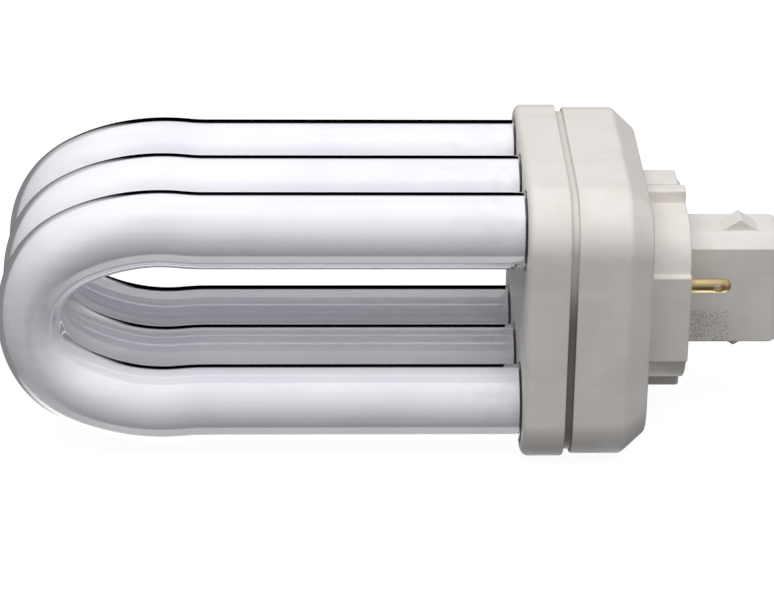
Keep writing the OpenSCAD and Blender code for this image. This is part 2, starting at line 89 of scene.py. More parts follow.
def mathNode(tree, operation, a, b=None, c=None, clamp=False):
    n = addNode(tree, "ShaderNodeMath", operation=operation, use_clamp=clamp)
    for i, value in enumerate((a, b, c)):
        if value is None:
            continue
        if isinstance(value, (int, float)):
            n.inputs[i].default_value = value
        else:
            tree.links.new(value, n.inputs[i])
    return n.outputs[0]


def mixColour(tree, factor, a, b, blend="MIX"):
    n = addNode(tree, "ShaderNodeMix", data_type="RGBA", blend_type=blend)
    for socket, value in ((n.inputs[0], factor), (n.inputs[6], a), (n.inputs[7], b)):
        if isinstance(value, (int, float)):
            socket.default_value = value
        elif isinstance(value, (tuple, list)):
            socket.default_value = (*value[:3], 1.0)
        else:
            tree.links.new(value, socket)
    return n.outputs[2]


def smoothStep(tree, value, low, high, toLow=0.0, toHigh=1.0):
    n = addNode(tree, "ShaderNodeMapRange", interpolation_type="SMOOTHSTEP")
    tree.links.new(value, n.inputs["Value"])
    for name, v in (("From Min", low), ("From Max", high), ("To Min", toLow), ("To Max", toHigh)):
        n.inputs[name].default_value = v
    return n.outputs[0]


def finishMesh(name, mesh, material, nodesReplaced=(), sharpAngle=32.0):
    obj = bpy.data.objects.new(name, mesh)
    scene.collection.objects.link(obj)
    if material is not None:
        mesh.materials.clear()
        mesh.materials.append(material)
    for f in mesh.polygons:
        f.use_smooth = True
    mesh.set_sharp_from_angle(angle=math.radians(sharpAngle))
    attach(obj, "root")
    if nodesReplaced:
        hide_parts(*nodesReplaced)
    return obj


def bakedCopy(obj, name):
    # the evaluated result as a plain mesh, after which the helper object goes
    dg = bpy.context.evaluated_depsgraph_get()
    mesh = bpy.data.meshes.new_from_object(obj.evaluated_get(dg), depsgraph=dg)
    mesh.name = name
    bpy.data.objects.remove(obj)
    return mesh


# ---------- shader groups ----------
def newGroup(name, inputs, outputs):
    group = bpy.data.node_groups.new(name, "ShaderNodeTree")
    for label, kind, default in inputs:
        s = group.interface.new_socket(name=label, in_out="INPUT", socket_type=kind)
        s.default_value = default
    for label, kind in outputs:
        group.interface.new_socket(name=label, in_out="OUTPUT", socket_type=kind)
    return group, addNode(group, "NodeGroupInput", (-900, 0)), addNode(group, "NodeGroupOutput", (900, 0))


def noise(tree, vector, scale, detail=3.0, roughness=0.5):
    n = addNode(tree, "ShaderNodeTexNoise")
    n.inputs["Detail"].default_value = detail
    n.inputs["Roughness"].default_value = roughness
    if isinstance(scale, (int, float)):
        n.inputs["Scale"].default_value = scale
    else:
        tree.links.new(scale, n.inputs["Scale"])
    tree.links.new(vector, n.inputs["Vector"])
    return n.outputs["Fac"]


def makeSurfaceGrain():
    # slow mottling, fine grain and short scuffs on Object coordinates
    group, gin, gout = newGroup(
        "surfaceGrain",
        [("Vector", "NodeSocketVector", (0, 0, 0)), ("Mottle Scale", "NodeSocketFloat", 90.0),
         ("Grain Scale", "NodeSocketFloat", 1800.0), ("Scuff Amount", "NodeSocketFloat", 0.3)],
        [("Mottle", "NodeSocketFloat"), ("Grain", "NodeSocketFloat"), ("Scuffs", "NodeSocketFloat")])
    vector = gin.outputs["Vector"]
    mottle = noise(group, vector, gin.outputs["Mottle Scale"], 4.0, 0.55)
    grain = noise(group, vector, gin.outputs["Grain Scale"], 2.0, 0.6)
    stretch = addNode(group, "ShaderNodeMapping")
    stretch.inputs["Scale"].default_value = (260, 900, 2600)
    stretch.inputs["Rotation"].default_value = (0.3, 0.2, 0.1)
    group.links.new(vector, stretch.inputs["Vector"])
    scratch = noise(group, stretch.outputs[0], 1.0, 2.0, 0.5)
    patchy = smoothStep(group, noise(group, vector, 160.0, 2.0), 0.52, 0.68)
    scuffs = mathNode(group, "MULTIPLY", smoothStep(group, scratch, 0.64, 0.72), patchy)
    scuffs = mathNode(group, "MULTIPLY", scuffs, gin.outputs["Scuff Amount"])
    join(group, [(mottle, gout.inputs["Mottle"]), (grain, gout.inputs["Grain"]), (scuffs, gout.inputs["Scuffs"])])
    return group


def makeLengthStreaks():
    # faint streaks that run along the lamp, as drawn glass and rolled metal have
    group, gin, gout = newGroup(
        "lengthStreaks",
        [("Vector", "NodeSocketVector", (0, 0, 0)), ("Across", "NodeSocketFloat", 700.0), ("Along", "NodeSocketFloat", 14.0)],
        [("Streak", "NodeSocketFloat"), ("Cloud", "NodeSocketFloat")])
    parts = addNode(group, "ShaderNodeSeparateXYZ")
    merged = addNode(group, "ShaderNodeCombineXYZ")
    group.links.new(gin.outputs["Vector"], parts.inputs[0])
    join(group, [(mathNode(group, "MULTIPLY", parts.outputs[0], gin.outputs["Along"]), merged.inputs[0]),
                 (mathNode(group, "MULTIPLY", parts.outputs[1], gin.outputs["Across"]), merged.inputs[1]),
                 (mathNode(group, "MULTIPLY", parts.outputs[2], gin.outputs["Across"]), merged.inputs[2])])
    join(group, [(noise(group, merged.outputs[0], 1.0, 3.0, 0.6), gout.inputs["Streak"]),
                 (noise(group, gin.outputs["Vector"], 45.0, 3.0, 0.5), gout.inputs["Cloud"])])
    return group


surfaceGrain = makeSurfaceGrain()
lengthStreaks = makeLengthStreaks()


def placeGroup(tree, group, vector, **values):
    n = addNode(tree, "ShaderNodeGroup")
    n.node_tree = group
    tree.links.new(vector, n.inputs["Vector"])
    for key, value in values.items():
        n.inputs[key.replace("_", " ")].default_value = value
    return n


def newMaterial(name, **plain):
    m = bpy.data.materials.new(name)
    m.use_nodes = True
    tree = m.node_tree
    shader = tree.nodes["Principled BSDF"]
    for key, value in plain.items():
        shader.inputs[key.replace("_", " ")].default_value = value
    coords = addNode(tree, "ShaderNodeTexCoord", (-1200, 0))
    return m, tree, shader, coords.outputs["Object"]


def addBump(tree, shader, height, distance, strength=1.0, coat=False):
    b = addNode(tree, "ShaderNodeBump")
    b.inputs["Distance"].default_value = distance
    b.inputs["Strength"].default_value = strength
    tree.links.new(height, b.inputs["Height"])
    tree.links.new(b.outputs[0], shader.inputs["Normal"])
    return b


# ---------- materials ----------
coatedLook = {
    "white": (0.90, 0.885, 0.925), "cool": (0.80, 0.80, 0.86), "smoke": (0.46, 0.45, 0.47),
    "roughness": 0.34, "coatIor": 2.3, "coatRoughness": 0.05, "smokeEnd": -0.031,
    "wallGloss": (0.94, 0.94, 0.97), "wallRoughness": 0.04, "wallFrom": 0.47, "wallTo": 0.585,
}


def makeCoatedGlass(p):
    m, tree, shader, place = newMaterial(
        "coatedGlass", Roughness=p["roughness"], Coat_Weight=1.0, Coat_Roughness=p["coatRoughness"],
        Coat_IOR=p["coatIor"], Specular_IOR_Level=0.2)
    streaks = placeGroup(tree, lengthStreaks, place, Across=520.0, Along=11.0)
    powder = mathNode(tree, "ADD", mathNode(tree, "MULTIPLY", streaks.outputs["Streak"], 0.35),
                      mathNode(tree, "MULTIPLY", streaks.outputs["Cloud"], 0.65))
    colour = mixColour(tree, smoothStep(tree, powder, 0.42, 0.66), p["white"], p["cool"])
    # the coating greys a little towards the electrodes
    where = addNode(tree, "ShaderNodeSeparateXYZ")
    tree.links.new(place, where.inputs[0])
    grey = smoothStep(tree, where.outputs[0], p["smokeEnd"] - 0.016, p["smokeEnd"] + 0.003)
    ragged = mathNode(tree, "MULTIPLY", grey, smoothStep(tree, noise(tree, place, 420.0, 3.0), 0.38, 0.72))
    colour = mixColour(tree, mathNode(tree, "MULTIPLY", ragged, 0.16), colour, p["smoke"])
    # at a low angle the clear wall over the coating turns into a mirror
    edge = addNode(tree, "ShaderNodeLayerWeight")
    edge.inputs["Blend"].default_value = 0.5
    wall = addNode(tree, "ShaderNodeBsdfGlossy")
    wall.inputs["Color"].default_value = (*p["wallGloss"], 1)
    wall.inputs["Roughness"].default_value = p["wallRoughness"]
    over = addNode(tree, "ShaderNodeMixShader")
    out = tree.nodes["Material Output"]
    join(tree, [(smoothStep(tree, edge.outputs["Facing"], p["wallFrom"], p["wallTo"]), over.inputs[0]),
                (shader.outputs[0], over.inputs[1]), (wall.outputs[0], over.inputs[2]),
                (over.outputs[0], out.inputs["Surface"])])
    tree.links.new(colour, shader.inputs["Base Color"])
    tree.links.new(smoothStep(tree, powder, 0.35, 0.7, p["roughness"] - 0.05, p["roughness"] + 0.1), shader.inputs["Roughness"])
    addBump(tree, shader, streaks.outputs["Streak"], 0.00002, 0.5)
    return m


ivoryLook = {
    "ivory": (0.765, 0.735, 0.692), "warm": (0.715, 0.682, 0.63), "pale": (0.82, 0.795, 0.755), "grooveShade": (0.13, 0.10, 0.075),
    "speck": (0.26, 0.23, 0.18), "paintedGlint": (0.92, 0.90, 0.85), "roughness": 0.46,
    "patchLow": (0.0002, -0.0098), "patchHigh": (0.0078, -0.0036),  # rough patch on the post, X and Z
}


def makeIvoryPlastic(p):
    m, tree, shader, place = newMaterial("ivoryPlastic", Specular_IOR_Level=0.42, Coat_Weight=0.08, Coat_Roughness=0.3)
    grain = placeGroup(tree, surfaceGrain, place, Mottle_Scale=130.0, Grain_Scale=2600.0, Scuff_Amount=0.5)
    streaks = placeGroup(tree, lengthStreaks, place, Across=420.0, Along=60.0)
    colour = mixColour(tree, smoothStep(tree, grain.outputs["Mottle"], 0.38, 0.68), p["ivory"], p["warm"])
    colour = mixColour(tree, smoothStep(tree, streaks.outputs["Streak"], 0.5, 0.8, 0.0, 0.35), colour, p["pale"])
    colour = mixColour(tree, mathNode(tree, "MULTIPLY", grain.outputs["Scuffs"], 0.5), colour, p["pale"])
    where = addNode(tree, "ShaderNodeSeparateXYZ")
    tree.links.new(place, where.inputs[0])
    wobble = mathNode(tree, "MULTIPLY", mathNode(tree, "SUBTRACT", noise(tree, place, 700.0, 2.0), 0.5), 0.0016)
    x = mathNode(tree, "ADD", where.outputs[0], wobble)
    z = mathNode(tree, "ADD", where.outputs[2], wobble)
    soft = 0.0005
    inside = mathNode(tree, "MULTIPLY", smoothStep(tree, x, p["patchLow"][0] - soft, p["patchLow"][0] + soft),
                      smoothStep(tree, x, p["patchHigh"][0] - soft, p["patchHigh"][0] + soft, 1.0, 0.0))
    inside = mathNode(tree, "MULTIPLY", inside, smoothStep(tree, z, p["patchLow"][1] - soft, p["patchLow"][1] + soft))
    inside = mathNode(tree, "MULTIPLY", inside, smoothStep(tree, z, p["patchHigh"][1] - soft, p["patchHigh"][1] + soft, 1.0, 0.0))
    inside = mathNode(tree, "MULTIPLY", inside, mathNode(tree, "LESS_THAN", where.outputs[1], -0.0045))
    specks = smoothStep(tree, noise(tree, place, 3600.0, 1.0, 0.4), 0.50, 0.62)
    rough = mathNode(tree, "MULTIPLY", inside, specks)
    colour = mixColour(tree, mathNode(tree, "MULTIPLY", rough, 0.6), colour, p["speck"])
    # painted glints: bright flecks painted into the rough patch in place of highlights
    paintedGlints = mathNode(tree, "MULTIPLY", inside, smoothStep(tree, noise(tree, place, 4300.0, 1.0, 0.4), 0.56, 0.64))
    colour = mixColour(tree, mathNode(tree, "MULTIPLY", paintedGlints, 0.7), colour, p["paintedGlint"])
    # painted shade in the groove between the tube holder and the cap: a dark brown, strongest low down where the
    # groove lies in shadow and faint on top where it is lit
    gap = mathNode(tree, "MULTIPLY", smoothStep(tree, where.outputs[0], -0.02062, -0.0205),
                   smoothStep(tree, where.outputs[0], -0.0193, -0.0192, 1.0, 0.0))
    low = smoothStep(tree, where.outputs[2], 0.002, 0.013, 0.8, 0.12)
    colour = mixColour(tree, mathNode(tree, "MULTIPLY", gap, low), colour, p["grooveShade"])
    tree.links.new(colour, shader.inputs["Base Color"])
    gloss = mathNode(tree, "ADD", smoothStep(tree, grain.outputs["Mottle"], 0.3, 0.7, p["roughness"] - 0.06, p["roughness"] + 0.08),
                     mathNode(tree, "MULTIPLY", inside, 0.3), clamp=True)
    tree.links.new(gloss, shader.inputs["Roughness"])
    height = mathNode(tree, "ADD", mathNode(tree, "MULTIPLY", grain.outputs["Grain"], 0.35),
                      mathNode(tree, "ADD", mathNode(tree, "MULTIPLY", rough, 2.0), grain.outputs["Mottle"]))
    addBump(tree, shader, height, 0.00004, 0.6)
    return m


brassLook = {"bright": (0.78, 0.60, 0.33), "dullAndTipReflection": (0.50, 0.36, 0.19), "roughness": 0.24}


def makeBrass(p):
    m, tree, shader, place = newMaterial("pinBrass", Metallic=1.0)
    grain = placeGroup(tree, surfaceGrain, place, Mottle_Scale=500.0, Grain_Scale=5200.0, Scuff_Amount=1.0)
    streaks = placeGroup(tree, lengthStreaks, place, Across=3600.0, Along=240.0)
    worn = mathNode(tree, "ADD", mathNode(tree, "MULTIPLY", grain.outputs["Mottle"], 0.7),
                    mathNode(tree, "MULTIPLY", streaks.outputs["Streak"], 0.3))
    where = addNode(tree, "ShaderNodeSeparateXYZ")
    tree.links.new(place, where.inputs[0])
    tipReflection = smoothStep(tree, where.outputs[0], 0.0036, 0.0062, 0.0, 0.55)  # the tip is painted darker round its hole and towards its end: a painted dark reflection
    fac = mathNode(tree, "ADD", smoothStep(tree, worn, 0.42, 0.66, 0.0, 0.7), tipReflection, clamp=True)
    tree.links.new(mixColour(tree, fac, p["bright"], p["dullAndTipReflection"]), shader.inputs["Base Color"])
    tree.links.new(smoothStep(tree, worn, 0.35, 0.7, p["roughness"] - 0.06, p["roughness"] + 0.2), shader.inputs["Roughness"])
    addBump(tree, shader, streaks.outputs["Streak"], 0.00001, 0.5)
    return m


def makeClearGlass():
    m, tree, shader, place = newMaterial("clearGlass", Transmission_Weight=1.0, IOR=1.5)
    streaks = placeGroup(tree, lengthStreaks, place, Across=500.0, Along=60.0)
    tree.links.new(mixColour(tree, streaks.outputs["Cloud"], (0.86, 0.92, 0.88), (0.93, 0.96, 0.94)), shader.inputs["Base Color"])
    tree.links.new(smoothStep(tree, streaks.outputs["Streak"], 0.3, 0.8, 0.02, 0.09), shader.inputs["Roughness"])
    addBump(tree, shader, streaks.outputs["Cloud"], 0.0001, 0.5)
    return m


def makeSimple(name, light, dark, scale, low, high, depth=0.00001, **plain):
    m, tree, shader, place = newMaterial(name, **plain)
    grain = placeGroup(tree, surfaceGrain, place, Mottle_Scale=scale, Grain_Scale=scale * 12, Scuff_Amount=0.4)
    colour = mixColour(tree, smoothStep(tree, grain.outputs["Mottle"], 0.35, 0.68), light, dark)
    colour = mixColour(tree, grain.outputs["Scuffs"], colour, light)
    tree.links.new(colour, shader.inputs["Base Color"])
    tree.links.new(smoothStep(tree, grain.outputs["Mottle"], 0.3, 0.7, low, high), shader.inputs["Roughness"])
    addBump(tree, shader, grain.outputs["Grain"], depth, 0.6)
    return m


coatedGlass = makeCoatedGlass(coatedLook)
ivoryPlastic = makeIvoryPlastic(ivoryLook)
pinBrass = makeBrass(brassLook)
clearGlass = makeClearGlass()
cementWhite = makeSimple("cementWhite", (0.82, 0.80, 0.76), (0.64, 0.62, 0.57), 320.0, 0.75, 0.95, 0.0001)
leadWire = makeSimple("leadWire", (0.66, 0.65, 0.63), (0.44, 0.43, 0.41), 900.0, 0.25, 0.45, Metallic=1.0)
tungsten = makeSimple("tungsten", (0.34, 0.33, 0.32), (0.86, 0.84, 0.78), 1600.0, 0.4, 0.8, Metallic=0.0)
capacitorShell = makeSimple("capacitorShell", (0.62, 0.36, 0.07), (0.46, 0.24, 0.04), 300.0, 0.2, 0.4, Coat_Weight=0.5)
redInsulation = makeSimple("redInsulation", (0.50, 0.05, 0.035), (0.36, 0.03, 0.025), 500.0, 0.35, 0.55)
blueInsulation = makeSimple("blueInsulation", (0.04, 0.07, 0.33), (0.025, 0.045, 0.22), 500.0, 0.35, 0.55)
print("materials made")


# ---------- glass U tubes ----------
tubeSizes = {
    "diameter": 12.5, "wall": 0.9, "legSpread": 30.8, "pitch": 14.8, "reach": 107.0,
    "crownRadius": 14.0, "crownAngle": 63.0, "swingAngle": 6.0, "returnRadius": 36.0,
    "thinning": 0.83, "coatEnd": -27.7, "legEnd": -12.4, "sides": 72,
}


def bendPath(p, straightEnd):
    # centre line of one U in the XZ plane, lower leg first, in mm
    crown, swing = math.radians(p["crownAngle"]), math.radians(p["swingAngle"])
    r, back, legZ = p["crownRadius"], p["returnRadius"], p["legSpread"] / 2
    shoulder = (legZ - r * math.sin(crown) + back * (1 - math.cos(swing))) / (math.cos(swing) - math.sin(crown))
    points = []
    for i in range(21):
        h = crown * i / 20
        points.append((-p["reach"] + r * (1 - math.cos(h)), r * math.sin(h)))
    cx, cz = points[-1]
    turned = math.pi / 2 + swing
    for i in range(1, 17):
        h = crown + (turned - crown) * i / 16
        points.append((cx + shoulder * (math.cos(crown) - math.cos(h)), cz + shoulder * (math.sin(h) - math.sin(crown))))
    sx, sz = points[-1]
    for i in range(1, 9):
        h = turned - swing * i / 8
        points.append((sx + back * (math.cos(h) + math.sin(swing)), sz + back * (math.cos(swing) - math.sin(h))))
    ex = points[-1][0]
    points += [(ex + (straightEnd - ex) * t, legZ) for t in (0.04, 0.3, 0.65, 1.0)]
    lower = [(x, -z) for x, z in points[:0:-1]]
    return lower + points


def makeTubeTree(material):
    # sweeps a circle along the path and thins it in the plane of the U near the crown
    tree = bpy.data.node_groups.new("sweptTube", "GeometryNodeTree")
    face = tree.interface
    face.new_socket(name="Geometry", in_out="INPUT", socket_type="NodeSocketGeometry")
    for label, kind, default in (("Radius", "NodeSocketFloat", 0.00625), ("Sides", "NodeSocketInt", 72),
                                 ("Crown Share", "NodeSocketFloat", 0.83), ("Half Spread", "NodeSocketFloat", 0.0154)):
        face.new_socket(name=label, in_out="INPUT", socket_type=kind).default_value = default
    face.new_socket(name="Geometry", in_out="OUTPUT", socket_type="NodeSocketGeometry")
    gin, gout = addNode(tree, "NodeGroupInput"), addNode(tree, "NodeGroupOutput")
    path = addNode(tree, "GeometryNodeMeshToCurve")
    spot = addNode(tree, "GeometryNodeInputPosition")
    keep = addNode(tree, "GeometryNodeCaptureAttribute", domain="POINT")
    keep.capture_items.new("VECTOR", "centre")
    ring = addNode(tree, "GeometryNodeCurvePrimitiveCircle")
    sweep = addNode(tree, "GeometryNodeCurveToMesh")
    offset = addNode(tree, "ShaderNodeVectorMath", operation="SUBTRACT")
    across = addNode(tree, "ShaderNodeVectorMath", operation="MULTIPLY")
    across.inputs[1].default_value = (0, 1, 0)
    inPlane = addNode(tree, "ShaderNodeVectorMath", operation="MULTIPLY")
    inPlane.inputs[1].default_value = (1, 0, 1)
    height = addNode(tree, "ShaderNodeSeparateXYZ")
    lift = addNode(tree, "ShaderNodeMath", operation="ABSOLUTE")
    share = addNode(tree, "ShaderNodeMapRange", interpolation_type="SMOOTHSTEP")
    scaled = addNode(tree, "ShaderNodeVectorMath", operation="SCALE")
    back = addNode(tree, "ShaderNodeVectorMath", operation="ADD")
    total = addNode(tree, "ShaderNodeVectorMath", operation="ADD")
    move = addNode(tree, "GeometryNodeSetPosition")
    smooth = addNode(tree, "GeometryNodeSetShadeSmooth")
    real = addNode(tree, "GeometryNodeRealizeInstances")
    paint = addNode(tree, "GeometryNodeSetMaterial")
    paint.inputs["Material"].default_value = material
    centre = keep.outputs[1]
    join(tree, [
        (gin.outputs["Geometry"], path.inputs["Mesh"]), (path.outputs["Curve"], keep.inputs["Geometry"]),
        (spot.outputs[0], keep.inputs[1]), (keep.outputs["Geometry"], sweep.inputs["Curve"]),
        (gin.outputs["Radius"], ring.inputs["Radius"]), (gin.outputs["Sides"], ring.inputs["Resolution"]),
        (ring.outputs["Curve"], sweep.inputs["Profile Curve"]),
        (spot.outputs[0], offset.inputs[0]), (centre, offset.inputs[1]),
        (offset.outputs[0], across.inputs[0]), (offset.outputs[0], inPlane.inputs[0]),
        (centre, height.inputs[0]), (height.outputs[2], lift.inputs[0]), (lift.outputs[0], share.inputs["Value"]),
        (gin.outputs["Half Spread"], share.inputs["From Max"]), (gin.outputs["Crown Share"], share.inputs["To Min"]),
        (inPlane.outputs[0], scaled.inputs[0]), (share.outputs[0], scaled.inputs["Scale"]),
        (across.outputs[0], back.inputs[0]), (scaled.outputs[0], back.inputs[1]),
        (back.outputs[0], total.inputs[0]), (centre, total.inputs[1]),
        (sweep.outputs[0], move.inputs["Geometry"]), (total.outputs[0], move.inputs["Position"]),
        (move.outputs[0], smooth.inputs["Geometry"]), (smooth.outputs[0], real.inputs["Geometry"]),
        (real.outputs[0], paint.inputs["Geometry"]), (paint.outputs[0], gout.inputs[0])])
    return tree


def sweptTube(name, points, row, p, tree, radius):
    mesh = bpy.data.meshes.new(name + "Path")
    mesh.from_pydata([(x * mm, row * mm, z * mm) for x, z in points], [(i, i + 1) for i in range(len(points) - 1)], [])
    obj = bpy.data.objects.new(name + "Path", mesh)
    scene.collection.objects.link(obj)
    mod = obj.modifiers.new("sweptTube", "NODES")
    mod.node_group = tree
    ids = {s.name: s.identifier for s in tree.interface.items_tree if s.in_out == "INPUT"}
    mod[ids["Radius"]] = radius * mm
    mod[ids["Sides"]] = p["sides"]
    mod[ids["Crown Share"]] = p["thinning"]
    mod[ids["Half Spread"]] = p["legSpread"] / 2 * mm
    return obj


def outward(mesh):
    bm = bmesh.new()
    bm.from_mesh(mesh)
    bmesh.ops.remove_doubles(bm, verts=bm.verts, dist=1e-7)
    bmesh.ops.recalc_face_normals(bm, faces=bm.faces)
    bm.to_mesh(mesh)
    bm.free()
    return mesh


def makeTubes(p):
    tree = makeTubeTree(coatedGlass)
    made = []
    for label, node, row in (("front", "front_u_tube", -p["pitch"]), ("middle", "middle_u_tube", 0.0), ("rear", "rear_u_tube", p["pitch"])):
        helper = sweptTube(label, bendPath(p, p["coatEnd"]), row, p, tree, p["diameter"] / 2)
        mesh = outward(bakedCopy(helper, label + "CoatedTube"))
        # the open sweep gets its glass thickness and closed rims
        holder = bpy.data.objects.new(label + "Shell", mesh)
        scene.collection.objects.link(holder)
        solid = holder.modifiers.new("wall", "SOLIDIFY")
        solid.thickness, solid.offset, solid.use_even_offset = p["wall"] * mm, -1.0, True
        mesh = outward(bakedCopy(holder, label + "CoatedTube"))
        made.append(finishMesh(label + "CoatedTube", mesh, coatedGlass, (node,), 50.0))
    return made


def ringPoints(x, y, z, radius, sides):
    return [(x, y + radius * math.cos(2 * math.pi * k / sides), z + radius * math.sin(2 * math.pi * k / sides)) for k in range(sides)]


def latheAlongX(bm, profile, y, z, sides):
    # closed profile of (x, radius) pairs turned round the X direction
    rings = []
    for x, radius in profile:
        if radius <= 1e-6:
            rings.append([bm.verts.new((x * mm, y * mm, z * mm))])
        else:
            rings.append([bm.verts.new(Vector(c) * mm) for c in ringPoints(x, y, z, radius, sides)])
    for a, b in zip(rings, rings[1:] + rings[:1]):
        for k in range(sides):
            n = (k + 1) % sides
            if len(a) == 1 and len(b) == 1:
                continue
            if len(a) == 1:
                bm.faces.new((a[0], b[n], b[k]))
            elif len(b) == 1:
                bm.faces.new((a[k], a[n], b[0]))
            else:
                bm.faces.new((a[k], a[n], b[n], b[k]))


def makeClearEnds(p):
    # the uncoated ends of the six legs, with their fused, slightly domed end walls
    bm = bmesh.new()
    r, w, start, end = p["diameter"] / 2, p["wall"], p["coatEnd"] + 0.02, p["legEnd"]
    dome = [(end - 1.3 + 1.3 * math.sin(a), r - 1.3 + 1.3 * math.cos(a)) for a in np.linspace(0, math.pi / 2, 7)]
    inner = [(end - 1.5 + 0.6 * math.sin(a), r - w - 0.6 + 0.6 * math.cos(a)) for a in np.linspace(math.pi / 2, 0, 5)]
    profile = [(start, r)] + dome + [(end, 0.0), (end - 0.9, 0.0)] + inner + [(start, r - w)]
    for row in (-p["pitch"], 0.0, p["pitch"]):
        for side in (-1, 1):
            latheAlongX(bm, profile, row, side * p["legSpread"] / 2, 64)
    mesh = bpy.data.meshes.new("clearTubeEnds")
    bmesh.ops.recalc_face_normals(bm, faces=bm.faces)
    bm.to_mesh(mesh)
    bm.free()
    return finishMesh("clearTubeEnds", mesh, clearGlass, (), 40.0)


makeTubes(tubeSizes)
makeClearEnds(tubeSizes)
print("glass tubes made")


# ---------- outlines and lofts for the plastic ----------
def roundRect(halfW, halfH, r, steps=10):
    points = []
    for cy, cz, start in ((halfW - r, halfH - r, 0), (-halfW + r, halfH - r, 90), (-halfW + r, -halfH + r, 180), (halfW - r, -halfH + r, 270)):
        for i in range(steps + 1):
            a = math.radians(start + 90 * i / steps)
            points.append((cy + r * math.cos(a), cz + r * math.sin(a)))
    return points


def filletCorners(points, radius, steps=4):
    # points are (y, z) or (y, z, own radius); a corner is rounded by an arc
    out = []
    n = len(points)
    for i in range(n):
        a, b, c = points[i - 1], points[i], points[(i + 1) % n]
        r = b[2] if len(b) > 2 else radius
        p, q, s = Vector(a[:2]), Vector(b[:2]), Vector(c[:2])
        u, v = (p - q).normalized(), (s - q).normalized()
        half = math.acos(max(-1, min(1, u.dot(v)))) / 2
        if r <= 0 or half > math.radians(88):
            out.append(tuple(q))
            continue
        reach = min(r / math.tan(half), 0.45 * (p - q).length, 0.45 * (s - q).length)
        r = reach * math.tan(half)
        mid = q + (u + v).normalized() * (r / math.sin(half))
        first, last = q + u * reach - mid, q + v * reach - mid
        turn = first.angle_signed(last)
        for k in range(steps + 1):
            t = -turn * k / steps
            out.append((mid.x + first.x * math.cos(t) - first.y * math.sin(t), mid.y + first.x * math.sin(t) + first.y * math.cos(t)))
    return out


def areaOf(points):
    return sum(a[0] * b[1] - b[0] * a[1] for a, b in zip(points, points[1:] + points[:1])) / 2


def insetOutline(points, d):
    # moves each side inwards by d and mitres the corners
    if abs(d) < 1e-9:
        return list(points)
    sign = 1 if areaOf(points) > 0 else -1
    out = []
    n = len(points)
    for i in range(n):
        p, q, s = Vector(points[i - 1]), Vector(points[i]), Vector(points[(i + 1) % n])
        u, v = (q - p), (s - q)
        if u.length < 1e-9:
            u = v
        if v.length < 1e-9:
            v = u
        u, v = u.normalized(), v.normalized()
        nu, nv = Vector((-u.y, u.x)) * sign, Vector((-v.y, v.x)) * sign
        m = nu + nv
        k = m.length_squared / 2
        out.append(tuple(q + m * (d / max(k, 0.35))))
    return out


def addLoft(bm, sections, capStart=True, capEnd=True):
    # sections are (x, outline) with equal point counts
    rings = [[bm.verts.new((x * mm, y * mm, z * mm)) for y, z in outline] for x, outline in sections]
    for a, b in zip(rings, rings[1:]):
        for k in range(len(a)):
            n = (k + 1) % len(a)
            bm.faces.new((a[k], a[n], b[n], b[k]))
    if capStart:
        bm.faces.new(rings[0])
    if capEnd:
        bm.faces.new(rings[-1])
    return rings


def cornered(points, d, steps=4):
    # outline inset by d whose own corner rounds shrink with it and never fold over
    moved = insetOutline([q[:2] for q in points], d)
    return filletCorners([(y, z, max(q[2] - d, 0.03) if q[2] > 0 else 0.0) for (y, z), q in zip(moved, points)], 0.0, steps)


def roundedEnds(x0, x1, corners, r0, r1, steps=4):
    # stations of a prism along X whose two end edges are rounded by r0 and r1
    turns = [math.pi / 2 * i / steps for i in range(steps + 1)]
    stations = [(x0 + r0 * (1 - math.cos(a)), cornered(corners, r0 * (1 - math.sin(a)))) for a in turns] if r0 > 0 else [(x0, cornered(corners, 0.0))]
    if r1 > 0:
        return stations + [(x1 - r1 * (1 - math.sin(a)), cornered(corners, r1 * (1 - math.cos(a)))) for a in turns]
    return stations + [(x1, cornered(corners, 0.0))]


def fillWithHoles(bm, outer, holes):
    edges = []
    for loop in [outer] + holes:
        for k in range(len(loop)):
            pair = (loop[k], loop[(k + 1) % len(loop)])
            edges.append(bm.edges.get(pair) or bm.edges.new(pair))
    bmesh.ops.triangle_fill(bm, use_beauty=True, use_dissolve=False, edges=edges)


def plasticPiece(name, bm, nodesReplaced):
    bmesh.ops.remove_doubles(bm, verts=bm.verts, dist=2e-7)
    bmesh.ops.recalc_face_normals(bm, faces=bm.faces)
    mesh = bpy.data.meshes.new(name)
    bm.to_mesh(mesh)
    bm.free()
    for f in mesh.polygons:
        f.use_smooth = True
    mesh.set_sharp_from_angle(angle=math.radians(38))
    helper = bpy.data.objects.new(name + "Helper", mesh)
    scene.collection.objects.link(helper)
    weighted = helper.modifiers.new("flatFaces", "WEIGHTED_NORMAL")
    weighted.keep_sharp, weighted.weight = True, 90
    mesh = bakedCopy(helper, name)
    obj = bpy.data.objects.new(name, mesh)
    scene.collection.objects.link(obj)
    mesh.materials.clear()
    mesh.materials.append(ivoryPlastic)
    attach(obj, "root")
    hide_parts(*nodesReplaced)
    return obj


# ---------- tube holder ----------
baseSizes = {
    "halfW": 24.8, "halfH": 23.8, "corner": 9.0, "front": -27.3, "back": -20.5, "plate": 2.6,
    "skirt": 1.0, "rim": 1.3, "holeGap": 0.15,
}


